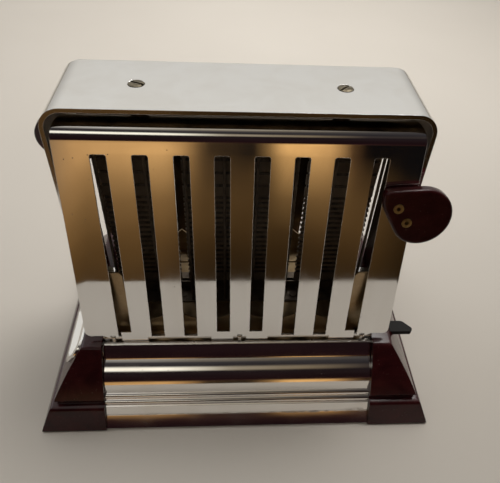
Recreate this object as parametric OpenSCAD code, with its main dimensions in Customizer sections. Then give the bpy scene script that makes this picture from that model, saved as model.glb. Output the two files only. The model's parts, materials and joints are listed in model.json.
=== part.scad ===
/* [Base] */
// Overall length of the base, end to end
base_l = 220; // [216:1:230]
// Overall depth of the base, front to back
base_d = 144; // [142:1:150]
// Height of the moulded end caps
cap_h = 44.8; // [44.8:0.2:45.4]
// Half length of the plated skirt between the end caps
skirt_half = 74.6; // [72:0.2:75]
// Wall thickness of the moulded end caps
cap_wall = 3.2; // [2.8:0.1:3.2]

/* [Shell] */
// Half length of the plated shell
shell_half = 84; // [83:0.5:84.2]
// Depth of the shell, front to back
shell_d = 46.6; // [44:0.2:47]
// Height of the shell's top face above the table
shell_h = 171.3; // [171:0.1:176]
// Corner radius of the shell
shell_r = 10; // [6:0.5:12]
// Sheet thickness of the shell and doors
sheet = 0.8; // [0.6:0.1:1]
// Width of the shell's turned-in rim
rim_w = 2; // [1.4:0.2:2.4]

/* [Doors] */
// Inward lean of a closed door, degrees
door_lean = 9.2; // [8.6:0.1:9.6]
// Half width of a door at the hinge
door_half_low = 82.9; // [80:0.1:83.2]
// Half width of a door at the top roll
door_half_top = 80.6; // [78:0.1:81]
// Distance from the hinge axis to the start of the roll
door_flat = 112.4; // [108:0.2:113]
// Outer radius of the rolled top
roll_r = 9; // [7:0.5:9.5]
// Number of slots in a door
slot_n = 8; // [5:1:8]
// Width of one slot
slot_w = 7; // [5:0.2:8]
// Spacing of the slots
slot_pitch = 17.7; // [17:0.1:18]
// Height of the hinge axis above the table
hinge_z = 45.2; // [45:0.1:46]
// Distance of the hinge axis from the middle of the toaster
hinge_y = 40.2; // [39.8:0.1:40.6]

/* [Knobs] */
// Reach of the front knob from the middle of the toaster
knob_reach = 98.5; // [96:0.5:102]
// Reach of the rear knob from the middle of the toaster
rear_knob_reach = 108.5; // [98:0.5:109]
// Thickness of a knob
knob_t = 5; // [4:0.5:6]

/* [Element] */
// Spacing of the winding notches
notch_pitch = 3.4; // [3.2:0.1:3.6]
// Number of turns on each card
turns = 21; // [18:1:21]

/* [Hidden] */
$fn = 48;
e = 0.01;
bh = base_l / 2;
bd = base_d / 2;
deck_z = 40.7;
deck_t = 0.8;
skirt_z = 42.3;
inlet_y = -26.5;
inlet_z = 36.4;
bar_y = -31;
bar_z = 39.2;
foot_at = [[-79, 1], [-79, 10], [79, -1], [79, -10]];

// Inset of the end cap's upper slope at height z
function up(z) = 10.5 + 0.545 * (z - 22.4) + 0.0045 * (z - 22.4) * (z - 22.4);
// Outline of the end cap: [inset from the foot, height]
foot_pts = [[0.7, 0], [0, 0.9], [0.3, 2], [5.0, 12.9], [5.4, 13.7], [6.1, 14.4], [7.0, 14.7], [9.0, 14.9], [9.5, 15.4], [9.5, 16.0], [9.1, 16.6], [8.75, 17.4]];
slope_pts = [for (i = [0 : 12]) let (z = 18.4 + i * (cap_h - 1.4 - 18.4) / 12) [up(z), z]];
top_pts = [[up(cap_h - 0.9) + 0.1, cap_h - 0.8], [up(cap_h) + 0.4, cap_h - 0.2], [up(cap_h) + 1.1, cap_h]];
cap_pts = concat(foot_pts, slope_pts, top_pts);
// Outline of the space inside the end cap
hollow_pts = concat([[cap_wall + 0.4, -1], [cap_wall + 0.6, 2], [cap_wall + 5.2, 11.4], [cap_wall + 9.4, 12.2], [cap_wall + 9.0, 18]],
    [for (i = [1 : 6]) let (z = 18 + i * (cap_h - cap_wall - 18) / 6) [up(z) + cap_wall + 0.9, z]]);

function mir(p) = [for (i = [len(p) - 1 : -1 : 0]) [-p[i][0], p[i][1]]];
// Prism along Y whose outer side follows the outline, from x = a outwards (grow pushes it out)
module end_prism(pts, a, grow = 0) {
    out = [for (q = pts) [bh - q[0] + grow, q[1]]];
    translate([0, bd + 5, 0]) rotate([90, 0, 0]) linear_extrude(height = base_d + 10)
        polygon(concat(out, [[a, pts[len(pts) - 1][1]], [a, pts[0][1]]]));
}
// Prism along X whose two sides follow the outline
module side_prism(pts, a) {
    right = [for (q = pts) [bd - q[0], q[1]]];
    translate([a, 0, 0]) rotate([90, 0, 90]) linear_extrude(height = bh - a + 10) polygon(concat(right, mir(right)));
}
module oval_x(w, h, a, b) {
    translate([a, 0, 0]) rotate([90, 0, 90]) linear_extrude(height = b - a) union() {
        square([w - h, h], center = true);
        for (s = [-1, 1]) translate([s * (w - h) / 2, 0]) circle(d = h);
    }
}
// One end cap, open towards the middle and below, drawn at +X
module cap_blank() {
    difference() {
        intersection() { end_prism(cap_pts, skirt_half); side_prism(cap_pts, skirt_half - 1); }
        difference() {
            intersection() { end_prism(hollow_pts, skirt_half - 2); side_prism(hollow_pts, skirt_half - 2); }
            for (s = [-1, 1]) translate([90, s * 52, 2.6]) cylinder(r = 4, h = 40);
        }
        for (s = [-1, 1]) translate([90, s * 52, -1]) cylinder(r = 1.95, h = 21);
    }
}
module foot_bores() { for (p = foot_at) translate([p[0], p[1], 30]) cylinder(r = 1.55, h = 30); }
module end_cap_right() {
    color([0.13, 0.045, 0.045]) difference() {
        cap_blank();
        foot_bores();
        translate([75, bar_y - 4.4, bar_z - 1.8]) cube([40, 8.8, 3.6]);
    }
}
module end_cap_left() {
    color([0.13, 0.045, 0.045]) difference() {
        mirror([1, 0, 0]) cap_blank();
        foot_bores();
        translate([0, inlet_y, inlet_z]) oval_x(40.4, 12.8, -115, -76);
    }
}

// Outline of the plated skirt: [distance from the middle, height]
bulge_a = [48.2, 35.0];
bulge_b = [59.5, 19.4];
flute_b = [63.7, 13.4];
skirt_pts = concat([[43.0, skirt_z], [43.5, 42.0], [48.0, 35.5]],
    [for (i = [0 : 14]) let (t = i / 14) bulge_a + t * (bulge_b - bulge_a) + 2.3 * pow(sin(180 * t), 0.85) * [0.81, 0.586]],
    [for (i = [1 : 12]) let (t = i / 12) bulge_b + t * (flute_b - bulge_b) + 0.75 * abs(sin(360 * t)) * [0.82, 0.57]],
    [[64.6, 13.0], [66.7, 8.6], [66.6, 7.9], [66.9, 7.3], [71.2, 0.8]]);
skirt_all = concat([[37, skirt_z]], skirt_pts, [[61.5, 0.8], [61.5, 1.6], [69.62, 1.6]],
    [for (i = [len(skirt_pts) - 2 : -1 : 1]) skirt_pts[i] + [-0.72, -0.5]], [[37, skirt_z - 0.8]]);
module skirt_sheet() {
    color([0.82, 0.83, 0.85]) translate([-skirt_half + 0.1, 0, 0]) rotate([90, 0, 90])
        linear_extrude(height = 2 * skirt_half - 0.2) polygon(skirt_all);
}
module skirt_rear() { skirt_sheet(); }
module skirt_front() { rotate([0, 0, 180]) skirt_sheet(); }

module base_pan() {
    color([0.35, 0.34, 0.33]) difference() {
        union() {
            translate([-104, -65.5, 1.6]) cube([208, 131, 1]);
            for (s = [-1, 1]) translate([-70, s * 58 - 0.5, 2]) cube([140, 1, 8]);
        }
        for (x = [-1, 1], y = [-1, 1]) translate([x * 90, y * 52, 0]) cylinder(r = 2.1, h = 5);
        for (x = [-3 : 3]) translate([x * 18 - 3, -20, 0]) cube([6, 40, 5]);
    }
}
module base_screws() {
    color([0.6, 0.58, 0.5]) for (x = [-1, 1], y = [-1, 1]) translate([x * 90, y * 52, 0]) difference() {
        union() {
            translate([0, 0, 0.5]) cylinder(r = 3.4, h = 1.1);
            translate([0, 0, 1.5]) cylinder(r = 1.9, h = 17);
        }
        translate([-4, -0.5, 0]) cube([8, 1, 1]);
    }
}
// Steel deck that closes the top of the base between and under the end caps
module deck() {
    color([0.42, 0.37, 0.28]) difference() {
        union() {
            translate([-skirt_half + 0.2, -42, deck_z]) cube([2 * skirt_half - 0.4, 84, deck_t]);
            translate([-81.5, -3.5, deck_z]) cube([80, 39.5, deck_t]);
            translate([0, -36, deck_z]) cube([81.5, 72, deck_t]);
        }
        foot_bores();
        for (x = [-1, 1]) translate([x * 53, 6.5, 30]) cylinder(r = 2.5, h = 30);
        for (x = [-1, 1], y = [-1, 1]) translate([x * 33, y * 7, 30]) cylinder(r = 1.3, h = 30);
        translate([66, bar_y - 5, 30]) cube([20, 10, 30]);
    }
}

// Plated oval liner of the plug well, with a flange that follows the sloping end
module inlet_ferrule() {
    color([0.8, 0.8, 0.8]) difference() {
        union() {
            intersection() {
                translate([0, inlet_y, inlet_z]) oval_x(44, 15.8, -115, -70);
                difference() {
                    mirror([1, 0, 0]) end_prism(cap_pts, skirt_half, 1.3);
                    mirror([1, 0, 0]) end_prism(cap_pts, skirt_half, 0);
                }
            }
            intersection() {
                translate([0, inlet_y, inlet_z]) oval_x(40.2, 12.6, -115, -76.1);
                mirror([1, 0, 0]) end_prism(cap_pts, skirt_half, 0.6);
            }
        }
        translate([0, inlet_y, inlet_z]) oval_x(38.4, 10.8, -120, -60);
    }
}
module inlet_block() {
    color([0.85, 0.82, 0.75]) difference() {
        translate([-76, -42.5, 30.2]) cube([9, 35.5, deck_z - 30.2]);
        for (s = [-1, 1]) translate([-90, inlet_y + s * 9.5, inlet_z]) rotate([0, 90, 0]) cylinder(r = 1.95, h = 40);
    }
}
module inlet_pins() {
    color([0.72, 0.55, 0.25]) for (s = [-1, 1]) translate([0, inlet_y + s * 9.5, inlet_z]) {
        translate([-87, 0, 0]) rotate([0, 90, 0]) cylinder(r = 2.4, h = 11);
        translate([-76.5, 0, 0]) rotate([0, 90, 0]) cylinder(r = 1.9, h = 14.5);
        intersection() {
            translate([-87, 0, 0]) sphere(r = 2.4);
            translate([-92, -3, -3]) cube([5.2, 6, 6]);
        }
    }
}
module inlet_nuts() {
    color([0.72, 0.55, 0.25]) for (s = [-1, 1]) translate([-66.95, inlet_y + s * 9.5, inlet_z]) rotate([0, 90, 0]) difference() {
        cylinder(r = 4, h = 2.6, $fn = 6);
        translate([0, 0, -1]) cylinder(r = 1.95, h = 6);
    }
}
// Flat brass strips under the deck
module bus_bar_return() {
    color([0.75, 0.58, 0.28]) difference() {
        union() {
            translate([-64.3, inlet_y + 5.5, inlet_z - 4]) cube([0.8, 8, 7.6]);
            translate([-64.3, inlet_y + 5.5, inlet_z - 4]) cube([7, 8, 0.8]);
            translate([-60.3, inlet_y + 5.5, inlet_z - 4]) cube([4, 30, 0.8]);
            translate([-60.3, 3, inlet_z - 4]) cube([10, 7, 0.8]);
        }
        translate([-70, inlet_y + 9.5, inlet_z]) rotate([0, 90, 0]) cylinder(r = 1.95, h = 10);
        translate([-53, 6.5, 20]) cylinder(r = 1.5, h = 30);
    }
}
module bus_bar_feed() {
    color([0.75, 0.58, 0.28]) difference() {
        union() {
            translate([-64.3, inlet_y - 13.5, inlet_z - 4]) cube([0.8, 8, 7.6]);
            translate([-64.3, bar_y - 15, inlet_z - 4]) cube([6, 9.5, 0.8]);
            translate([-64.3, bar_y - 15, inlet_z - 4]) cube([123.3, 5, 0.8]);
        }
        translate([-70, inlet_y - 9.5, inlet_z]) rotate([0, 90, 0]) cylinder(r = 1.95, h = 10);
    }
}
module bus_bar_switched() {
    color([0.75, 0.58, 0.28]) difference() {
        union() {
            translate([49, bar_y + 10, inlet_z - 4]) cube([10, 31, 0.8]);
        }
        translate([53, 6.5, 20]) cylinder(r = 1.5, h = 30);
    }
}
// Moulded block that carries the sliding switch bar
module switch_block() {
    color([0.12, 0.1, 0.09]) difference() {
        translate([50, bar_y - 9, 31]) cube([22, 18, deck_z - 31]);
        translate([49, bar_y - 4.05, 32.5]) cube([30, 8.1, bar_z + 1.5 - 32.5]);
        for (s = [-1, 1]) translate([54.8, bar_y + (s > 0 ? 3 : -10), 32.9]) cube([4.4, 7, 1.4]);
    }
}
module switch_leaves() {
    color([0.75, 0.58, 0.28]) {
        for (s = [-1, 1]) {
            translate([55, bar_y + (s > 0 ? 9.05 : -10), 31.8]) cube([4, 0.95, 4]);
            translate([55, bar_y + (s > 0 ? 2.4 : -9.9), 33.1]) cube([4, 7.5, 1]);
            translate([55, bar_y + (s > 0 ? 2.4 : -3.4), 33.1]) cube([4, 1, 2.9]);
        }
    }
}
// Black push-pull bar that stands out of the right end
module switch_bar() {
    color([0.02, 0.02, 0.02]) translate([0, 0, bar_z - 1.45]) linear_extrude(height = 2.7)
        polygon([[62, bar_y - 4], [99.9, bar_y - 4], [100.9, bar_y - 3.3], [101.3, bar_y - 2.2], [101.2, bar_y - 1.2],
            [97.2, bar_y + 3.2], [96.2, bar_y + 3.8], [95, bar_y + 4], [62, bar_y + 4]]);
}
module switch_bridge() {
    color([0.75, 0.58, 0.28]) translate([62.4, bar_y - 3.2, bar_z - 3.05]) cube([5, 6.4, 1.6]);
}
module terminal_bushings() {
    color([0.88, 0.85, 0.78]) for (x = [-1, 1]) translate([x * 53, 6.5, 0]) difference() {
        union() {
            translate([0, 0, deck_z - 2.4]) cylinder(r = 3.6, h = 2.4);
            translate([0, 0, deck_z - 1]) cylinder(r = 2.4, h = 3.4);
            translate([0, 0, deck_z + deck_t + 1]) cylinder(r = 3.6, h = 1.6);
        }
        cylinder(r = 1.5, h = 60);
    }
}
module terminal_studs() {
    color([0.75, 0.58, 0.28]) for (x = [-1, 1]) translate([x * 53, 6.5, 0]) {
        translate([0, 0, 30.6]) cylinder(r = 2.8, h = 1.8);
        translate([0, 0, 31]) cylinder(r = 1.45, h = 17.5);
    }
}
module terminal_nuts() {
    color([0.75, 0.58, 0.28]) for (x = [-1, 1]) translate([x * 53, 6.5, deck_z + deck_t + 3.1]) difference() {
        cylinder(r = 3, h = 1.8, $fn = 6);
        translate([0, 0, -1]) cylinder(r = 1.5, h = 5);
    }
}
// Short ribbons that join the three windings and the two studs
module element_links() {
    color([0.4, 0.36, 0.3]) {
        for (x = [-1, 1]) translate([x * 53, 6.5, deck_z + deck_t + 2.6]) difference() {
            translate([-2.6, -4.8, 0]) cube([5.2, 7.4, 0.5]);
            translate([0, 0, -1]) cylinder(r = 1.5, h = 5);
        }
        for (x = [-1, 1]) translate([x * 53 - 1, 1.9, deck_z + deck_t + 2.7]) cube([2, 0.3, 10.4]);
        for (s = [-1, 1]) translate([min(s * 28.6, s * 37.2), 0.85, 152.2]) cube([8.6, 0.3, 1.8]);
    }
}

// Plated inverted-U shell with a turned-in rim and feet
module u_outline(g) {
    h = shell_half - g; r = shell_r - g;
    union() {
        translate([-h, cap_h]) square([2 * h, shell_h - shell_r - cap_h]);
        translate([-h + r, cap_h]) square([2 * h - 2 * r, shell_h - g - cap_h]);
        for (s = [-1, 1]) translate([s * (h - r), shell_h - shell_r]) circle(r = r, $fn = 64);
    }
}
module shell() {
    color([0.86, 0.86, 0.87]) difference() {
        union() {
            translate([0, shell_d / 2, 0]) rotate([90, 0, 0]) linear_extrude(height = shell_d) difference() {
                u_outline(0);
                u_outline(sheet);
                translate([-shell_half + sheet, cap_h - 2]) square([2 * (shell_half - sheet), 40]);
            }
            for (y = [-shell_d / 2 + sheet, shell_d / 2]) translate([0, y, 0]) rotate([90, 0, 0]) linear_extrude(height = sheet) difference() {
                u_outline(0);
                u_outline(rim_w);
                translate([-shell_half + rim_w, cap_h - 2]) square([2 * (shell_half - rim_w), 40]);
            }
            for (s = [-1, 1]) translate([s > 0 ? 75.5 : -shell_half + 0.2, -13, cap_h]) cube([shell_half - 75.7, 26, sheet]);
        }
        for (s = [-1, 1]) translate([s * 46.2, 0, 0]) {
            translate([0, 0, 160]) cylinder(r = 2, h = 20);
            translate([0, 0, shell_h - sheet - e]) cylinder(r1 = 2.6, r2 = 3.9, h = sheet + 2 * e);
        }
        foot_bores();
    }
}
module shell_foot_screws() {
    color([0.6, 0.58, 0.5]) for (p = foot_at) translate([p[0], p[1], 0]) {
        translate([0, 0, cap_h + sheet]) cylinder(r = 2.7, h = 1.3);
        translate([0, 0, 37.8]) cylinder(r = 1.5, h = cap_h + sheet - 37.5);
    }
}
module shell_foot_nuts() {
    color([0.6, 0.58, 0.5]) for (p = foot_at) translate([p[0], p[1], deck_z - 2.2]) difference() {
        cylinder(r = 3, h = 2.2, $fn = 6);
        translate([0, 0, -1]) cylinder(r = 1.55, h = 5);
    }
}
module top_screws() {
    color([0.62, 0.58, 0.48]) for (s = [-1, 1]) translate([s * 46.2, 0, 0]) difference() {
        union() {
            translate([0, 0, shell_h - 0.75]) cylinder(r1 = 2.5, r2 = 3.6, h = 0.85);
            translate([0, 0, shell_h + 0.1 - e]) cylinder(r1 = 3.6, r2 = 2.6, h = 0.4);
            translate([0, 0, 156.5]) cylinder(r = 1.9, h = shell_h - 0.7 - 156.5);
        }
        rotate([0, 0, s * 35 + 10]) translate([-5, -0.5, shell_h - 0.45]) cube([10, 1, 2]);
    }
}
module top_spacers() {
    color([0.45, 0.43, 0.4]) for (s = [-1, 1]) translate([s * 46.2, 0, 164.2]) difference() {
        cylinder(r = 4.2, h = shell_h - sheet - 164.2);
        translate([0, 0, -1]) cylinder(r = 2, h = 12);
    }
}
module top_nuts() {
    color([0.6, 0.58, 0.5]) for (s = [-1, 1]) translate([s * 46.2, 0, 158.2]) difference() {
        union() {
            translate([0, 0, 2.1]) cylinder(r = 3.6, h = 2.7, $fn = 6);
        }
        translate([0, 0, -1]) cylinder(r = 1.95, h = 12);
    }
}
wires_x = [-68.5, -45.6, -27, -8, 8, 27, 45.6, 68.5];
// Channel under the top plate that grips the cards and the tops of the guard wires
module top_rail() {
    color([0.3, 0.27, 0.24]) difference() {
        union() {
            translate([-71, -12, 163]) cube([142, 24, 1.2]);
            for (s = [-1, 1]) translate([-71, s * 1.45 - 0.4, 157.5]) cube([142, 0.8, 5.6]);
        }
        for (s = [-1, 1]) translate([s * 46.2, 0, 0]) {
            translate([0, 0, 150]) cylinder(r = 2, h = 20);
            translate([0, 0, 150]) cylinder(r = 4.4, h = 13);
        }
        for (x = wires_x, y = [-1, 1]) translate([x, y * 10, 150]) cylinder(r = 0.85, h = 20);
    }
}
module bottom_rail() {
    color([0.3, 0.27, 0.24]) difference() {
        union() {
            translate([-71, -12, deck_z + deck_t]) cube([142, 24, 1]);
            for (s = [-1, 1]) translate([-71, s * 1.45 - 0.4, deck_z + deck_t + 0.5]) cube([142, 0.8, 6.5]);
        }
        for (x = [-1, 1]) translate([x * 53, 6.5, 30]) cylinder(r = 2.5, h = 30);
        for (x = [-1, 1]) translate([x * 53 - 3.4, 0.5, deck_z + deck_t + 1]) cube([6.8, 12, 12]);
        for (x = [-1, 1], y = [-1, 1]) translate([x * 33, y * 7, 30]) cylinder(r = 1.3, h = 30);
        for (x = wires_x, y = [-1, 1]) translate([x, y * 10, 30]) cylinder(r = 0.85, h = 20);
    }
}
module rail_rivets() {
    color([0.5, 0.48, 0.44]) for (x = [-1, 1], y = [-1, 1]) translate([x * 33, y * 7, 0]) {
        translate([0, 0, deck_z - 0.8]) cylinder(r = 2.2, h = 0.8);
        translate([0, 0, deck_z - 0.5]) cylinder(r = 1.25, h = 3);
        translate([0, 0, deck_z + deck_t + 1]) cylinder(r = 2.2, h = 0.8);
    }
}

// Mica card between x = a and x = b with winding notches down both edges
notch_z = 56;
// Height of notch i: close turns low down, open turns near the top
function nz(i) = notch_z + notch_pitch * min(i, 16) + 7.7 * max(i - 16, 0);
module card(a, b) {
    color([0.3, 0.26, 0.2]) translate([0, 0.5, 0]) rotate([90, 0, 0]) linear_extrude(height = 1) difference() {
        translate([a, 43]) square([b - a, 119.6]);
        for (i = [0 : turns], x = [a, b]) translate([x - 1.3, nz(i) - 0.95]) square([2.6, 1.9]);
        for (x = [-1, 1]) translate([x * 46.2, 162]) circle(r = 5.2);
        for (x = [-1, 1]) translate([x * 46.2 - 2.6, 155]) square([5.2, 10]);
    }
}
// Resistance ribbon wound round a card: level across the front, sloping across the back
module winding(a, b) {
    w = 0.75; t = 0.28;
    color([0.2, 0.18, 0.16]) for (i = [0 : turns]) {
        z = nz(i); z2 = nz(i + 1);
        translate([a + 0.7, -0.5 - t, z - w]) cube([b - a - 1.4, t, 2 * w]);
        translate([a + 0.7, -0.5 - t, z - w]) cube([0.4, 1 + 2 * t, 2 * w]);
        translate([b - 1.1, -0.5 - t, z - w]) cube([0.4, 1 + 2 * t, 2 * w]);
        if (i < turns) translate([0, 0.5 + t, 0]) rotate([90, 0, 0]) linear_extrude(height = t)
            polygon([[a + 0.7, z2 - w], [b - 0.7, z - w], [b - 0.7, z + w], [a + 0.7, z2 + w]]);
    }
}
module mica_card_left() { card(-70, -33.6); }
module mica_card_centre() { card(-29.6, 29.6); }
module mica_card_right() { card(33.6, 70); }
module winding_left() { winding(-70, -33.6); }
module winding_centre() { winding(-29.6, 29.6); }
module winding_right() { winding(33.6, 70); }
module guards(y) {
    color([0.28, 0.24, 0.2]) for (x = wires_x) translate([x, y, 41.6]) cylinder(r = 0.8, h = 123);
}
module guard_wires_front() { guards(-10); }
module guard_wires_rear() { guards(10); }
// Sheet stop with a scalloped upper edge and two tall ends that keeps the bread off the door
module rest() {
    color([0.45, 0.38, 0.27]) union() {
        translate([-70, 22, deck_z + deck_t]) cube([140, 11.6, 0.8]);
        translate([0, 33.6, 0]) rotate([90, 0, 0]) linear_extrude(height = 0.8) difference() {
            polygon([[-74, deck_z + deck_t], [74, deck_z + deck_t], [74, 84], [70, 88], [61, 88], [59.5, 86], [59.5, 60],
                [-59.5, 60], [-59.5, 86], [-61, 88], [-70, 88], [-74, 84]]);
            intersection() {
                union() for (i = [-1.5 : 1 : 1.5]) translate([i * 2 * slot_pitch, 74.4]) circle(r = 22.8, $fn = 96);
                translate([-59.5, 40]) square([119, 60]);
            }
        }
    }
}
module bread_rest_rear() { rest(); }
module bread_rest_front() { rotate([0, 0, 180]) rest(); }

// Lugs that hold a hinge rod
lugs_x = [-68.5, 0, 68.5];
module lugs() {
    color([0.5, 0.48, 0.44]) for (x = lugs_x) translate([x - 0.8, 0, 0]) rotate([90, 0, 90]) linear_extrude(height = 1.6) difference() {
        union() {
            translate([hinge_y - 1.9, skirt_z]) square([3.8, hinge_z - skirt_z]);
            translate([hinge_y, hinge_z]) circle(r = 1.9);
            translate([37, skirt_z]) square([4.2, 0.8]);
        }
        translate([hinge_y, hinge_z]) circle(r = 1.32);
    }
}
module hinge_lugs_rear() { lugs(); }
module hinge_lugs_front() { rotate([0, 0, 180]) lugs(); }
module rod() {
    color([0.75, 0.74, 0.72]) translate([-74.4, hinge_y, hinge_z]) rotate([0, 90, 0]) cylinder(r = 1.3, h = 148.8);
}
module hinge_rod_rear() { rod(); }
module hinge_rod_front() { rod_front(); }
module rod_front() { rotate([0, 0, 180]) rod(); }

// Local door frame: hinge axis at the origin, z up the door, -y outwards
module on_front() { translate([0, -hinge_y, hinge_z]) rotate([-door_lean, 0, 0]) children(); }
module on_rear() { rotate([0, 0, 180]) on_front() children(); }
face_y = -2.3;
function roll_half(a) = door_half_top - (a <= 0 ? 0 : 5.5 * pow(a / 100, 2));
// One sheet: a flat panel that turns back towards the shell at the top through a little over a right angle
module door_sheet() {
    low = 1.25; lift = 2.6; yc = face_y + roll_r; sweep = 102;
    ends = [for (a = [17 : 17 : sweep]) [roll_half(a), yc - roll_r * cos(a)]];
    difference() {
        intersection() {
            translate([-90, 0, 0]) rotate([90, 0, 90]) linear_extrude(height = 180)
                polygon(concat([[face_y + sheet, low], [face_y, low]],
                    [for (a = [0 : 6 : sweep]) [yc - roll_r * cos(a), door_flat + roll_r * sin(a)]],
                    [for (a = [sweep : -6 : 0]) [yc - (roll_r - sheet) * cos(a), door_flat + (roll_r - sheet) * sin(a)]]));
            translate([0, yc + 8, 0]) rotate([90, 0, 0]) linear_extrude(height = 30)
                polygon(concat([[-73.6, lift], [-71, low - 0.01], [71, low - 0.01], [73.6, lift]],
                    [for (a = [-90 : 15 : 0]) [door_half_low - 3 + 3 * cos(a), lift + 3 + 3 * sin(a)]],
                    [[door_half_top, door_flat], [door_half_top, door_flat + 15], [-door_half_top, door_flat + 15], [-door_half_top, door_flat]],
                    [for (a = [180 : 15 : 270]) [-door_half_low + 3 + 3 * cos(a), lift + 3 + 3 * sin(a)]]));
        }
        for (s = [-1, 1]) scale_x(s) translate([0, 0, door_flat]) linear_extrude(height = 20)
            polygon(concat([[door_half_top, face_y - 1], [door_half_top, face_y]], ends, [[roll_half(sweep), yc + 9], [95, yc + 9], [95, face_y - 1]]));
        for (x = lugs_x) translate([x - 1.4, face_y - 1, 0]) cube([2.8, 3, lift]);
        for (i = [0 : slot_n - 1]) translate([(i - (slot_n - 1) / 2) * slot_pitch, 1, 0]) rotate([90, 0, 0]) linear_extrude(height = 6)
            polygon(concat([[-slot_w / 2, low + 0.8], [slot_w / 2, low + 0.8]],
                [for (a = [0 : 30 : 90]) [slot_w / 2 - 1 + cos(a), 106.2 + sin(a)]],
                [for (a = [90 : 30 : 180]) [-slot_w / 2 + 1 + cos(a), 106.2 + sin(a)]]));
    }
}
module scale_x(s) { if (s > 0) children(); else mirror([1, 0, 0]) children(); }
module door() {
    color([0.84, 0.84, 0.86]) difference() {
        union() {
            door_sheet();
            for (x = [[-63.9, 14], [-15.5, 12], [3.5, 12], [49.9, 14]]) {
                translate([x[0], 0, 0]) rotate([0, 90, 0]) cylinder(r = 2.2, h = x[1]);
                translate([x[0], face_y, -0.2]) cube([x[1], sheet, 5.2]);
            }
        }
        translate([-100, 0, 0]) rotate([0, 90, 0]) cylinder(r = 1.36, h = 200);
        for (p = rivet_at) translate([p[0], 0, p[1]]) rotate([90, 0, 0]) cylinder(r = 1.62, h = 12);
    }
}
rivet_at = [[71.8, 85.0], [77.0, 77.6]];
module door_front() { on_front() door(); }
module door_rear() { on_rear() door(); }
// Paddle knob: a disc that runs into a blunt corner over the door's edge
module knob_outline(reach) {
    cx = reach - 14.6; cz = 80.2;
    union() {
        translate([cx, cz]) circle(r = 14.6, $fn = 96);
        polygon(concat([[64.2, 93.2], [64.0, 91.5], [65.0, 84.6], [73.0, 70.9]],
            cx > 86 ? [[78.5, 67.2], [84, 65.9]] : [], [[cx, cz - (cx > 86 ? 14.3 : 9)], [cx, cz + 14.3], [74, 94.2]]));
    }
}
module knob(reach) {
    color([0.12, 0.04, 0.04]) difference() {
        translate([0, face_y - 0.8, 0]) rotate([90, 0, 0]) linear_extrude(height = knob_t) knob_outline(reach);
        for (p = rivet_at) translate([p[0], 0, p[1]]) rotate([90, 0, 0]) {
            cylinder(r = 1.62, h = 12);
            translate([0, 0, -face_y + 0.8 + knob_t - 0.6]) cylinder(r = 2.5, h = 5);
        }
    }
}
module knob_front() { on_front() knob(knob_reach); }
module knob_rear() { on_rear() knob(rear_knob_reach); }
// Hollow rivets that clamp the knob, the sheet and the washer plate behind it
module knob_rivets() {
    color([0.6, 0.48, 0.28]) for (p = rivet_at) translate([p[0], 0, p[1]]) rotate([90, 0, 0]) difference() {
        union() {
            translate([0, 0, -face_y - sheet - 0.6]) cylinder(r = 2.3, h = 0.6);
            translate([0, 0, -face_y - sheet - 0.3]) cylinder(r = 1.6, h = sheet + 0.8 + knob_t);
            translate([0, 0, -face_y + 0.8 + knob_t - 0.6]) cylinder(r = 2.4, h = 0.8);
        }
        cylinder(r = 1, h = 12);
    }
}
module knob_rivets_front() { on_front() knob_rivets(); }
module knob_rivets_rear() { on_rear() knob_rivets(); }
// Insulating card between the knob and the hot sheet
module knob_backplate() {
    color([0.35, 0.22, 0.14]) difference() {
        translate([0, face_y, 0]) rotate([90, 0, 0]) linear_extrude(height = 0.8)
            polygon([[66.5, 91.5], [66.8, 84.5], [74.2, 72.6], [80.4, 72.6], [80.4, 91.5]]);
        for (p = rivet_at) translate([p[0], 0, p[1]]) rotate([90, 0, 0]) cylinder(r = 1.62, h = 12);
    }
}
module knob_backplate_front() { on_front() knob_backplate(); }
module knob_backplate_rear() { on_rear() knob_backplate(); }

end_cap_left();
end_cap_right();
skirt_front();
skirt_rear();
base_pan();
base_screws();
deck();
inlet_ferrule();
inlet_block();
inlet_pins();
inlet_nuts();
bus_bar_return();
bus_bar_feed();
bus_bar_switched();
switch_block();
switch_leaves();
switch_bar();
switch_bridge();
terminal_bushings();
terminal_studs();
terminal_nuts();
element_links();
shell();
shell_foot_screws();
shell_foot_nuts();
top_screws();
top_spacers();
top_nuts();
top_rail();
bottom_rail();
rail_rivets();
mica_card_left();
mica_card_centre();
mica_card_right();
winding_left();
winding_centre();
winding_right();
guard_wires_front();
guard_wires_rear();
bread_rest_front();
bread_rest_rear();
hinge_lugs_front();
hinge_lugs_rear();
hinge_rod_front();
hinge_rod_rear();
door_front();
knob_front();
knob_rivets_front();
knob_backplate_front();
door_rear();
knob_rear();
knob_rivets_rear();
knob_backplate_rear();
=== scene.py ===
import bpy, bmesh, json, math
from mathutils import Vector, Matrix


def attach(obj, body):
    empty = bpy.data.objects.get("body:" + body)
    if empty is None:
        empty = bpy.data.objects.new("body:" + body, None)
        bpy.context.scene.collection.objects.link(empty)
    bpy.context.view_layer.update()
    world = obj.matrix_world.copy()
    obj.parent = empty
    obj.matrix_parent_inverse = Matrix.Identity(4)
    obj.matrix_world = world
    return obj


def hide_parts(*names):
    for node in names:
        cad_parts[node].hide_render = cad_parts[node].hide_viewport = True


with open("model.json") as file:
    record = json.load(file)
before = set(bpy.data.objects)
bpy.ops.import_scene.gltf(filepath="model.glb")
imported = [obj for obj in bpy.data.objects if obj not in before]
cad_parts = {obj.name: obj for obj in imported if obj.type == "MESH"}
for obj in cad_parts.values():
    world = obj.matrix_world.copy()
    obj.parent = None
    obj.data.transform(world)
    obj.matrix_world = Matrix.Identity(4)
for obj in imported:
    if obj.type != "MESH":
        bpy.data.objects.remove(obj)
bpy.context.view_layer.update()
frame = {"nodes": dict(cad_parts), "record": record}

MM = 0.001
scene = bpy.context.scene


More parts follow.
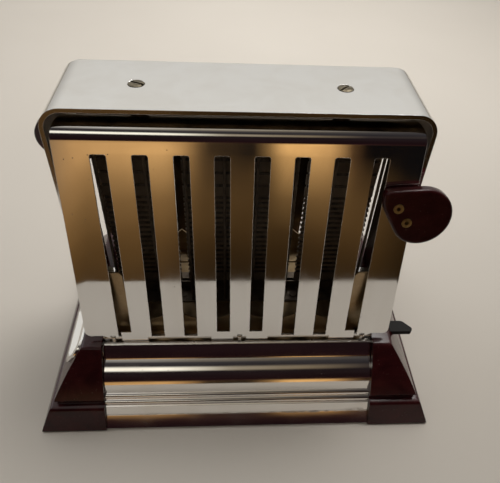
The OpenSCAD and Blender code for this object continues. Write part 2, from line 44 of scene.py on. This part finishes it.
# ---------------------------------------------------------------- node helpers
class Mat:
    """A small helper that wires procedural nodes for one material."""

    def __init__(self, name):
        self.m = bpy.data.materials.new(name)
        self.m.use_nodes = True
        self.t = self.m.node_tree
        self.t.nodes.clear()
        self.out = self.t.nodes.new("ShaderNodeOutputMaterial")
        self.b = self.t.nodes.new("ShaderNodeBsdfPrincipled")
        self.link(self.b.outputs[0], self.out.inputs[0])
        self.obj = self.t.nodes.new("ShaderNodeTexCoord").outputs["Object"]

    def link(self, a, b):
        self.t.links.new(a, b)

    def scaled(self, sx, sy, sz, loc=(0, 0, 0), rot=(0, 0, 0)):
        n = self.t.nodes.new("ShaderNodeMapping")
        n.inputs["Scale"].default_value = (sx, sy, sz)
        n.inputs["Location"].default_value = loc
        n.inputs["Rotation"].default_value = rot
        self.link(self.obj, n.inputs["Vector"])
        return n.outputs[0]

    def noise(self, vec, scale, detail=4.0, rough=0.55, dist=0.0):
        n = self.t.nodes.new("ShaderNodeTexNoise")
        n.inputs["Scale"].default_value = scale
        n.inputs["Detail"].default_value = detail
        n.inputs["Roughness"].default_value = rough
        n.inputs["Distortion"].default_value = dist
        self.link(vec, n.inputs["Vector"])
        return n.outputs[0]

    def voronoi(self, vec, scale):
        n = self.t.nodes.new("ShaderNodeTexVoronoi")
        n.inputs["Scale"].default_value = scale
        self.link(vec, n.inputs["Vector"])
        return n.outputs["Distance"]

    def remap(self, v, a, b, c, d):
        n = self.t.nodes.new("ShaderNodeMapRange")
        for i, x in enumerate((a, b, c, d)):
            n.inputs[i + 1].default_value = x
        self.link(v, n.inputs[0])
        return n.outputs[0]

    def math(self, op, a, b):
        n = self.t.nodes.new("ShaderNodeMath")
        n.operation = op
        for i, x in enumerate((a, b)):
            if isinstance(x, (int, float)):
                n.inputs[i].default_value = x
            else:
                self.link(x, n.inputs[i])
        return n.outputs[0]

    def mix(self, f, a, b):
        n = self.t.nodes.new("ShaderNodeMix")
        n.data_type = "RGBA"
        if isinstance(f, (int, float)):
            n.inputs[0].default_value = f
        else:
            self.link(f, n.inputs[0])
        for i, x in ((6, a), (7, b)):
            if isinstance(x, tuple):
                n.inputs[i].default_value = (*x, 1.0)
            else:
                self.link(x, n.inputs[i])
        return n.outputs[2]

    def sep(self):
        n = self.t.nodes.new("ShaderNodeSeparateXYZ")
        self.link(self.obj, n.inputs[0])
        return n.outputs

    def bevel(self, radius_mm):
        n = self.t.nodes.new("ShaderNodeBevel")
        n.samples = 4
        n.inputs["Radius"].default_value = radius_mm * MM
        return n.outputs[0]

    def bump(self, height, strength, dist_mm, normal=None):
        n = self.t.nodes.new("ShaderNodeBump")
        n.inputs["Strength"].default_value = strength
        n.inputs["Distance"].default_value = dist_mm * MM
        self.link(height, n.inputs["Height"])
        if normal is not None:
            self.link(normal, n.inputs["Normal"])
        return n.outputs[0]

    def set(self, **kw):
        for k, v in kw.items():
            sock = self.b.inputs[k.replace("_", " ")]
            if isinstance(v, tuple):
                sock.default_value = (*v, 1.0)
            elif isinstance(v, (int, float)):
                sock.default_value = v
            else:
                self.link(v, sock)
        return self


def blob(m, centre, size, soft=1.0):
    """A soft patch around a place on the object, 1 inside and 0 outside."""
    s = m.scaled(1 / size[0], 1 / size[1], 1 / size[2], loc=tuple(-c / z for c, z in zip(centre, size)))
    n = m.t.nodes.new("ShaderNodeVectorMath")
    n.operation = "LENGTH"
    m.link(s, n.inputs[0])
    return m.remap(n.outputs["Value"], 1.0, 1.0 - soft, 0.0, 1.0)


def plated(name, tint=(0.86, 0.86, 0.87), dull=0.05, wave=0.10, spots=0.5, stains=(), inner=None):
    m = Mat(name)
    big = m.noise(m.scaled(1, 1, 1), 16, 2)
    smear = m.noise(m.scaled(30, 30, 9), 1.6, 5, 0.6, 0.4)
    fine = m.noise(m.scaled(900, 900, 60), 1.0, 3)
    pit = m.remap(m.voronoi(m.scaled(1, 1, 1), 210), 0.075, 0.03, 0.0, 1.0)
    where = m.remap(m.noise(m.scaled(1, 1, 1), 22, 3), 0.56, 0.66, 0.0, 1.0)
    spot = m.math("MULTIPLY", m.math("MULTIPLY", pit, where), spots)
    dirt = spot
    for centre, size, amount in stains:
        rag = m.remap(m.noise(m.scaled(1, 1, 1), 260, 5, 0.7), 0.42, 0.62, 0.0, 1.0)
        dirt = m.math("MAXIMUM", dirt, m.math("MULTIPLY", m.math("MULTIPLY", blob(m, centre, size), rag), amount))
    film = m.mix(m.remap(smear, 0.4, 0.75, 0.0, 0.35), tint, (tint[0] * 0.86, tint[1] * 0.82, tint[2] * 0.77))
    col = m.mix(dirt, film, (0.16, 0.085, 0.04))
    rough = m.math("ADD", m.remap(smear, 0.35, 0.8, dull, dull + 0.09), m.math("MULTIPLY", dirt, 0.5))
    # inner: faces turned inward (under the shell's arch, the doors' inner sides) get a dark brown painted shade for
    # the shade inside the toaster, and a rougher finish
    if inner:
        nn = m.t.nodes.new("ShaderNodeTexCoord").outputs["Normal"]
        if inner == "arch":
            sn = m.t.nodes.new("ShaderNodeSeparateXYZ")
            m.link(nn, sn.inputs[0])
            out = m.math("MULTIPLY", sn.outputs[0], m.math("SIGN", m.sep()[0], 0.0))
            back = m.remap(m.math("ADD", out, sn.outputs[2]), -0.3, -0.6, 0.0, 1.0)
        else:
            dot = m.t.nodes.new("ShaderNodeVectorMath")
            dot.operation = "DOT_PRODUCT"
            m.link(nn, dot.inputs[0])
            dot.inputs[1].default_value = inner
            back = m.remap(dot.outputs["Value"], 0.3, 0.6, 0.0, 1.0)
        inward_painted_shade = m.mix(m.remap(smear, 0.35, 0.7, 0.0, 1.0), (0.045, 0.030, 0.018), (0.16, 0.11, 0.06))
        col = m.mix(back, col, inward_painted_shade)
        rough = m.math("MAXIMUM", rough, m.math("MULTIPLY", back, 0.42))
    n1 = m.bump(big, wave, 1.0, m.bevel(0.35))
    n2 = m.bump(fine, 0.03, 0.02, n1)
    m.set(Base_Color=col, Metallic=m.remap(dirt, 0.0, 1.0, 1.0, 0.35), Roughness=rough, Normal=n2)
    return m.m


def bakelite(name):
    m = Mat(name)
    cloud = m.noise(m.scaled(1, 1, 1), 60, 6, 0.65, 0.6)
    flow = m.noise(m.scaled(18, 60, 60), 1.4, 4, 0.6, 1.2)
    scr = m.noise(m.scaled(700, 90, 250), 1.0, 2)
    dust = m.remap(m.noise(m.scaled(1, 1, 1), 900, 2), 0.68, 0.78, 0.0, 0.35)
    c = m.mix(m.remap(cloud, 0.35, 0.7, 0.0, 1.0), (0.030, 0.0045, 0.006), (0.062, 0.010, 0.011))
    c = m.mix(m.remap(flow, 0.5, 0.75, 0.0, 0.5), c, (0.014, 0.003, 0.004))
    c = m.mix(dust, c, (0.20, 0.15, 0.12))
    r = m.math("ADD", m.remap(cloud, 0.3, 0.8, 0.16, 0.30), m.math("MULTIPLY", dust, 0.4))
    n = m.bump(scr, 0.05, 0.03, m.bump(cloud, 0.10, 0.15, m.bevel(0.7)))
    m.set(Base_Color=c, Roughness=r, Normal=n, IOR=1.5, Specular_IOR_Level=0.28, Coat_Weight=0.10, Coat_Roughness=0.07)
    return m.m


def metal(name, lo, hi, r0, r1, scale=90, grain=0.12, bev=0.15, stretch=(1, 1, 1), metallic=1.0):
    m = Mat(name)
    a = m.noise(m.scaled(*stretch), scale, 6, 0.65, 0.3)
    g = m.noise(m.scaled(1, 1, 1), 1400, 3)
    m.set(Base_Color=m.mix(m.remap(a, 0.35, 0.68, 0.0, 1.0), lo, hi), Metallic=metallic,
          Roughness=m.remap(a, 0.3, 0.75, r0, r1), Normal=m.bump(g, grain, 0.04, m.bevel(bev)))
    return m.m


def mica(name):
    m = Mat(name)
    flake = m.voronoi(m.scaled(1, 1, 0.55), 240)
    cloud = m.noise(m.scaled(1, 1, 1), 45, 6, 0.6, 0.8)
    # flakes turn darker towards the bottom of the sheets, by height
    low_darkening = m.remap(m.sep()[2], 0.045, 0.16, 1.0, 0.2)
    c = m.mix(m.remap(cloud, 0.35, 0.7, 0.0, 1.0), (0.13, 0.095, 0.065), (0.32, 0.25, 0.17))
    c = m.mix(m.math("MULTIPLY", low_darkening, m.remap(flake, 0.1, 0.7, 0.5, 0.0)), c, (0.06, 0.04, 0.03))
    m.set(Base_Color=c, Roughness=m.remap(flake, 0.0, 0.8, 0.35, 0.7), Normal=m.bump(flake, 0.15, 0.1), Specular_IOR_Level=0.6)
    return m.m


def matt(name, lo, hi, r0, r1, scale=120, bev=0.3, fine=900, spec=0.5):
    m = Mat(name)
    a = m.noise(m.scaled(1, 1, 1), scale, 6, 0.6)
    g = m.noise(m.scaled(1, 1, 1), fine, 3)
    m.set(Base_Color=m.mix(m.remap(a, 0.35, 0.7, 0.0, 1.0), lo, hi), Roughness=m.remap(a, 0.3, 0.75, r0, r1),
          Normal=m.bump(g, 0.2, 0.06, m.bevel(bev)), Specular_IOR_Level=spec)
    return m.m


M = {
    "bakelite": bakelite("bakelite_maroon"),
    "plated": plated("chrome_plate"),
    "plated_trim": plated("chrome_liner", (0.84, 0.83, 0.81), 0.10, 0.2, 0.8),
    "deck_steel": metal("tinted_steel", (0.30, 0.20, 0.10), (0.55, 0.43, 0.28), 0.28, 0.55, 38, 0.2),
    "dark_steel": metal("dark_steel", (0.08, 0.065, 0.055), (0.26, 0.21, 0.16), 0.35, 0.6, 80, 0.25),
    "screw_steel": metal("aged_nickel", (0.07, 0.055, 0.035), (0.30, 0.26, 0.19), 0.30, 0.55, 420, 0.3, 0.2),
    "rod_steel": metal("rod_steel", (0.45, 0.43, 0.40), (0.74, 0.73, 0.70), 0.15, 0.32, 150, 0.12, 0.1),
    "brass": metal("dull_brass", (0.26, 0.17, 0.07), (0.60, 0.44, 0.20), 0.28, 0.55, 260, 0.2, 0.2),
    "porcelain": matt("porcelain", (0.70, 0.66, 0.58), (0.84, 0.81, 0.74), 0.12, 0.3, 60, 0.4),
    "black_plastic": matt("black_moulding", (0.006, 0.0055, 0.005), (0.014, 0.013, 0.012), 0.42, 0.62, 150, 0.35, 900, 0.12),
    "mica": mica("mica_sheet"),
    "ribbon": metal("resistance_ribbon", (0.05, 0.045, 0.04), (0.20, 0.17, 0.14), 0.4, 0.65, 300, 0.2, 0.0),
    "fibre": matt("fibre_washer", (0.16, 0.09, 0.05), (0.30, 0.18, 0.11), 0.7, 0.9, 200, 0.1),
}
shell_m = plated("chrome_shell", (0.87, 0.86, 0.845), 0.08, 0.12, 0.5, inner="arch")
specks = (((0.0622, -0.0390, 0.0610), (0.0012, 0.004, 0.0012), 1.0), ((0.0655, -0.0392, 0.0600), (0.0010, 0.004, 0.0009), 1.0),
          ((0.0600, -0.0400, 0.0560), (0.0008, 0.004, 0.0008), 1.0))
door_f = plated("chrome_door_front", (0.88, 0.87, 0.86), 0.030, 0.06, 0.7, specks, (0, 0.987, -0.16))
door_r = plated("chrome_door_rear", (0.88, 0.87, 0.86), 0.030, 0.06, 0.7, (), (0, -0.987, -0.16))
skirt_m = plated("chrome_skirt", (0.85, 0.83, 0.81), 0.05, 0.06, 0.8, stains=(
    ((0.066, -0.0665, 0.0080), (0.009, 0.004, 0.0022), 1.0), ((0.040, -0.0665, 0.0078), (0.034, 0.004, 0.0011), 0.8),
    ((-0.020, -0.0665, 0.0078), (0.050, 0.004, 0.0008), 0.5)))
SPECIAL = {"shell": shell_m, "door_front": door_f, "door_rear": door_r, "skirt_front": skirt_m, "skirt_rear": skirt_m}


# ---------------------------------------------------------------- carried-over CAD nodes
def smooth_group():
    g = bpy.data.node_groups.new("smooth_by_angle", "GeometryNodeTree")
    g.interface.new_socket("Geometry", in_out="INPUT", socket_type="NodeSocketGeometry")
    g.interface.new_socket("Geometry", in_out="OUTPUT", socket_type="NodeSocketGeometry")
    i, o = g.nodes.new("NodeGroupInput"), g.nodes.new("NodeGroupOutput")
    w = g.nodes.new("GeometryNodeMergeByDistance")
    w.inputs["Distance"].default_value = 1e-6
    f = g.nodes.new("GeometryNodeSetShadeSmooth")
    f.domain = "FACE"
    f.inputs["Shade Smooth"].default_value = True
    s = g.nodes.new("GeometryNodeSetShadeSmooth")
    s.domain = "EDGE"
    a = g.nodes.new("GeometryNodeInputMeshEdgeAngle")
    c = g.nodes.new("FunctionNodeCompare")
    c.data_type = "FLOAT"
    c.operation = "LESS_THAN"
    c.inputs[1].default_value = math.radians(23)
    for x, y in ((i.outputs[0], w.inputs[0]), (w.outputs[0], f.inputs[0]), (f.outputs[0], s.inputs[0]),
                 (a.outputs[0], c.inputs[0]), (c.outputs[0], s.inputs["Shade Smooth"]), (s.outputs[0], o.inputs[0])):
        g.links.new(x, y)
    return g


SMOOTH = smooth_group()
slot_of = {s["node"]: s["material_slot"] for s in frame["record"]["subparts"]}
for n, o in frame["nodes"].items():
    o.data.materials.clear()
    o.data.materials.append(SPECIAL.get(n, M[slot_of[n]]))
    for p in o.data.polygons:
        p.material_index = 0
    a = o.data.attributes.get("custom_normal")
    if a is not None:
        o.data.attributes.remove(a)
    md = o.modifiers.new("smooth", "NODES")
    md.node_group = SMOOTH


# ---------------------------------------------------------------- moulded knobs with rounded edges
def knob_outline(reach):
    cx, cz, r = reach - 14.6, 80.2, 14.6
    left = [(64.2, 93.2), (64.0, 91.5), (65.0, 84.6), (72.6, 71.4)]
    a0 = math.atan2(71.4 - cz, 76.0 - cx)
    pts = list(left)
    if cx > 86:
        pts += [(77.5, 67.6), (84.0, 65.9), (cx - 4, cz - 14.5)]
        a_start = -104
    else:
        a_start = -130
    for k in range(49):
        a = math.radians(a_start + (100 - a_start) * k / 48)
        pts.append((cx + r * math.cos(a), cz + r * math.sin(a)))
    pts += [(74.0, 94.2)]
    return pts


def dense(pts, step=1.2):
    out = []
    for i, p in enumerate(pts):
        q = pts[(i + 1) % len(pts)]
        n = max(1, int(math.dist(p, q) / step))
        out += [(p[0] + (q[0] - p[0]) * k / n, p[1] + (q[1] - p[1]) * k / n) for k in range(n)]
    for _ in range(3):
        out = [((out[i - 1][0] + 2 * p[0] + out[(i + 1) % len(out)][0]) / 4,
                (out[i - 1][1] + 2 * p[1] + out[(i + 1) % len(out)][1]) / 4) for i, p in enumerate(out)]
    return out


def inset(pts, d):
    out = []
    for i, p in enumerate(pts):
        a, b = pts[i - 1], pts[(i + 1) % len(pts)]
        tx, tz = b[0] - a[0], b[1] - a[1]
        L = math.hypot(tx, tz)
        out.append((p[0] - tz / L * d, p[1] + tx / L * d))
    return out


def make_knob(name, reach, body, node, rear):
    lean, hy, hz = math.radians(9.2), 40.2, 45.2
    base = dense(knob_outline(reach))
    rings = []
    R = 1.5
    for ang in (0, 20, 40, 60, 75, 90):
        a = math.radians(ang)
        rings.append((R * (1 - math.sin(a)), -3.1 - R * (1 - math.cos(a)) * 0.4))
    for ang in (0, 15, 30, 45, 60, 75, 90):
        a = math.radians(ang)
        rings.append((R * (1 - math.cos(a)), -8.1 + R * (1 - math.sin(a))))
    rings.append((R + 0.5, -8.1))
    bm = bmesh.new()

    def place(x, y, z):
        c, s = math.cos(-lean), math.sin(-lean)
        v = Vector((x, y * c - z * s - hy, y * s + z * c + hz))
        if rear:
            v = Vector((-v.x, -v.y, v.z))
        return v * MM

    loops = [[bm.verts.new(place(x, y, z)) for x, z in inset(base, d)] for d, y in rings]
    n = len(base)
    for a, b in zip(loops, loops[1:]):
        for i in range(n):
            j = (i + 1) % n
            bm.faces.new((a[i], a[j], b[j], b[i]))
    holes = {"front": [], "back": []}
    for hx, hzz in ((71.8, 85.0), (77.0, 77.6)):
        prof = [(1.66, -3.1), (1.66, -7.45), (2.52, -7.45), (2.52, -8.0), (2.68, -8.1)]
        hl = [[bm.verts.new(place(hx + r * math.cos(t * math.pi / 12), y, hzz + r * math.sin(t * math.pi / 12)))
               for t in range(24)] for r, y in prof]
        for a, b in zip(hl, hl[1:]):
            for i in range(24):
                j = (i + 1) % 24
                bm.faces.new((a[j], a[i], b[i], b[j]))
        holes["back"].append(hl[0])
        holes["front"].append(hl[-1])

    def ring_edges(loop):
        out = []
        for i, v in enumerate(loop):
            w = loop[(i + 1) % len(loop)]
            out.append(bm.edges.get((v, w)) or bm.edges.new((v, w)))
        return out

    for side, loop in (("back", loops[0]), ("front", loops[-1])):
        es = ring_edges(loop)
        for h in holes[side]:
            es += ring_edges(h)
        bmesh.ops.triangle_fill(bm, use_beauty=True, use_dissolve=False, edges=es)
    bmesh.ops.recalc_face_normals(bm, faces=bm.faces)
    me = bpy.data.meshes.new(name)
    bm.to_mesh(me)
    bm.free()
    for p in me.polygons:
        p.use_smooth = True
    me.set_sharp_from_angle(angle=math.radians(24))
    o = bpy.data.objects.new(name, me)
    scene.collection.objects.link(o)
    me.materials.append(M["bakelite"])
    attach(o, body)
    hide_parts(node)
    return o


make_knob("front_paddle_knob", 98.5, "front_door", "knob_front", False)
make_knob("rear_paddle_knob", 108.5, "rear_door", "knob_rear", True)


# ---------------------------------------------------------------- floor, lights, world, camera
def floor():
    me = bpy.data.meshes.new("floor")
    me.from_pydata([(-1.6, -0.196, 0), (1.6, -0.196, 0), (1.6, 2.2, 0), (-1.6, 2.2, 0)], [], [(0, 1, 2, 3)])
    o = bpy.data.objects.new("floor", me)
    scene.collection.objects.link(o)
    m = Mat("floor_cloth")
    a = m.noise(m.scaled(1, 1, 1), 3, 3)
    g = m.noise(m.scaled(1, 1, 1), 900, 2)
    c = m.mix(m.remap(a, 0.35, 0.7, 0.0, 1.0), (0.575, 0.53, 0.475), (0.605, 0.56, 0.505))
    m.set(Base_Color=c, Roughness=0.85,
          Normal=m.bump(g, 0.1, 0.1))
    me.materials.append(m.m)


floor()


def area(name, loc, target, size, power, color, spread=180):
    d = bpy.data.lights.new(name, "AREA")
    d.shape = "RECTANGLE"
    d.size, d.size_y = size
    d.energy = power
    d.spread = math.radians(spread)
    d.color = color
    o = bpy.data.objects.new(name, d)
    o.location = loc
    o.rotation_mode = "QUATERNION"
    o.rotation_quaternion = (Vector(target) - Vector(loc)).to_track_quat("-Z", "Y")
    scene.collection.objects.link(o)


area("key", (0.45, 0.75, 1.30), (0.05, 0.50, 0.0), (1.0, 0.8), 2.5, (1.0, 0.985, 0.95), 52)
area("side", (-1.1, 0.5, 0.8), (0, 0.1, 0.05), (0.7, 0.9), 0.9, (0.92, 0.96, 1.0), 90)

w = bpy.data.worlds.new("room")
scene.world = w
w.use_nodes = True
nt = w.node_tree
nt.nodes.clear()
wo, bg = nt.nodes.new("ShaderNodeOutputWorld"), nt.nodes.new("ShaderNodeBackground")
nt.links.new(bg.outputs[0], wo.inputs[0])
sx = nt.nodes.new("ShaderNodeSeparateXYZ")
nt.links.new(nt.nodes.new("ShaderNodeTexCoord").outputs["Generated"], sx.inputs[0])
X, Y, Z = sx.outputs


def ramp(v, lo, hi, stops):
    mr, rp = nt.nodes.new("ShaderNodeMapRange"), nt.nodes.new("ShaderNodeValToRGB")
    mr.inputs[1].default_value, mr.inputs[2].default_value = lo, hi
    nt.links.new(v, mr.inputs[0])
    nt.links.new(mr.outputs[0], rp.inputs[0])
    el = rp.color_ramp.elements
    while len(el) > 1:
        el.remove(el[-1])
    for k, (p, c) in enumerate(stops):
        e = el[0] if k == 0 else el.new((p - lo) / (hi - lo))
        e.position = (p - lo) / (hi - lo)
        e.color = (*c, 1) if isinstance(c, tuple) else (c, c, c, 1)
    return rp.outputs[0]


def wmix(f, a, b, mode="MIX"):
    n = nt.nodes.new("ShaderNodeMix")
    n.data_type, n.blend_type = "RGBA", mode
    for k, x in ((0, f), (6, a), (7, b)):
        if isinstance(x, (int, float)):
            n.inputs[k].default_value = x
        else:
            nt.links.new(x, n.inputs[k])
    return n.outputs[2]


back = ramp(Z, -1, 1, [(-1, (0.30, 0.28, 0.25)), (-0.1, (0.50, 0.48, 0.44)), (0.15, (0.62, 0.60, 0.56)), (0.45, (0.84, 0.82, 0.77)), (1, (1.0, 0.98, 0.94))])
low = ramp(X, -0.6, 0.6, [(-0.6, (0.08, 0.06, 0.04)), (-0.34, (0.12, 0.10, 0.08)), (-0.27, (0.75, 0.42, 0.16)), (-0.12, (0.95, 0.54, 0.20)),
                          (-0.07, (0.40, 0.22, 0.08)), (-0.04, (0.05, 0.03, 0.015)), (0.05, (0.02, 0.013, 0.008)), (0.08, (0.25, 0.14, 0.05)),
                          (0.11, (1.1, 0.62, 0.22)), (0.19, (0.95, 0.53, 0.19)), (0.235, (0.10, 0.05, 0.02)), (0.26, (0.005, 0.004, 0.004)), (0.6, (0.01, 0.01, 0.01))])
across = ramp(X, -0.6, 0.6, [(-0.6, 0.8), (-0.27, 1.0), (-0.13, 0.95), (-0.05, 0.5), (0.03, 0.4), (0.11, 0.45), (0.19, 0.6), (0.27, 0.55), (0.33, 0.2), (0.6, 0.2)])
steep = ramp(Z, -1, 0, [(-1, (0.07, 0.04, 0.02)), (-0.45, (0.085, 0.045, 0.016)), (-0.41, (0.12, 0.062, 0.02)), (-0.365, (0.20, 0.105, 0.035)), (-0.32, (0.27, 0.145, 0.05)), (0, (0.3, 0.16, 0.06))])
steep = wmix(1.0, steep, across, "MULTIPLY")
low = wmix(ramp(Z, -0.5, -0.1, [(-0.38, 0.0), (-0.32, 0.12), (-0.275, 0.5), (-0.235, 1.0)]), steep, low)
high = ramp(Z, 0, 1, [(0, (0.05, 0.02, 0.016)), (0.06, (0.016, 0.006, 0.007)), (0.45, (0.02, 0.012, 0.013)), (0.70, (0.03, 0.025, 0.028)), (0.90, (0.06, 0.055, 0.055)), (1, (0.42, 0.40, 0.36))])
front = wmix(ramp(Z, -0.05, 0.02, [(-0.05, 0.0), (0.02, 1.0)]), low, high)
band = wmix(1.0, ramp(Z, 0.2, 0.8, [(0.2, 0.0), (0.54, 0.0), (0.60, 1.0), (0.68, 1.0), (0.74, 0.0)]),
            ramp(X, -1, 1, [(-1, (0.8, 0.8, 0.8)), (-0.12, (1.4, 1.33, 1.12)), (0.0, (0.36, 0.31, 0.22)), (0.15, (0.22, 0.17, 0.10)), (0.26, (0.02, 0.015, 0.01)), (1, (0.02, 0.02, 0.02))]), "MULTIPLY")
nz = nt.nodes.new("ShaderNodeTexNoise")
nz.inputs["Scale"].default_value = 5.0
nz.inputs["Detail"].default_value = 3.0
nt.links.new(sx.inputs[0].links[0].from_socket, nz.inputs["Vector"])
front = wmix(1.0, front, ramp(nz.outputs[0], 0, 1, [(0, 0.7), (0.38, 0.75), (0.62, 1.0), (1, 1.0)]), "MULTIPLY")
front = wmix(1.0, front, band, "ADD")
crown = wmix(1.0, ramp(Z, 0, 1, [(0, 0.0), (0.84, 0.0), (0.93, 1.0), (1, 1.0)]),
             ramp(X, -1, 1, [(-1, (0.6, 0.6, 0.58)), (-0.2, (0.62, 0.59, 0.53)), (-0.06, (0.26, 0.22, 0.16)), (0.1, (0.16, 0.13, 0.08)), (0.3, (0.03, 0.025, 0.02)), (1, (0.03, 0.025, 0.02))]), "MULTIPLY")
front = wmix(1.0, front, crown, "ADD")
back = wmix(1.0, back, ramp(X, -1, 1, [(-1, 0.10), (-0.80, 0.30), (-0.55, 1.0), (1, 1.0)]), "MULTIPLY")
nt.links.new(wmix(ramp(Y, -0.4, 0.4, [(-0.05, 0.0), (0.30, 1.0)]), front, back), bg.inputs[0])
bg.inputs[1].default_value = 0.85

yaw, pitch, roll = 0.100, 0.778, 0.069
right = Vector((math.cos(yaw), -math.sin(yaw), 0))
fwd = Vector((math.sin(yaw) * math.cos(pitch), math.cos(yaw) * math.cos(pitch), -math.sin(pitch)))
up = right.cross(fwd)
r2 = right * math.cos(roll) + up * math.sin(roll)
u2 = -right * math.sin(roll) + up * math.cos(roll)
cd = bpy.data.cameras.new("camera")
cd.sensor_width, cd.lens = 36, 37.255
cd.shift_x, cd.shift_y = -0.0281, 0.0498
cam = bpy.data.objects.new("camera", cd)
scene.collection.objects.link(cam)
cam.matrix_world = Matrix(((r2.x, u2.x, -fwd.x, -0.00682), (r2.y, u2.y, -fwd.y, -0.21824), (r2.z, u2.z, -fwd.z, 0.27544), (0, 0, 0, 1)))
scene.camera = cam
scene.view_settings.view_transform = "Standard"
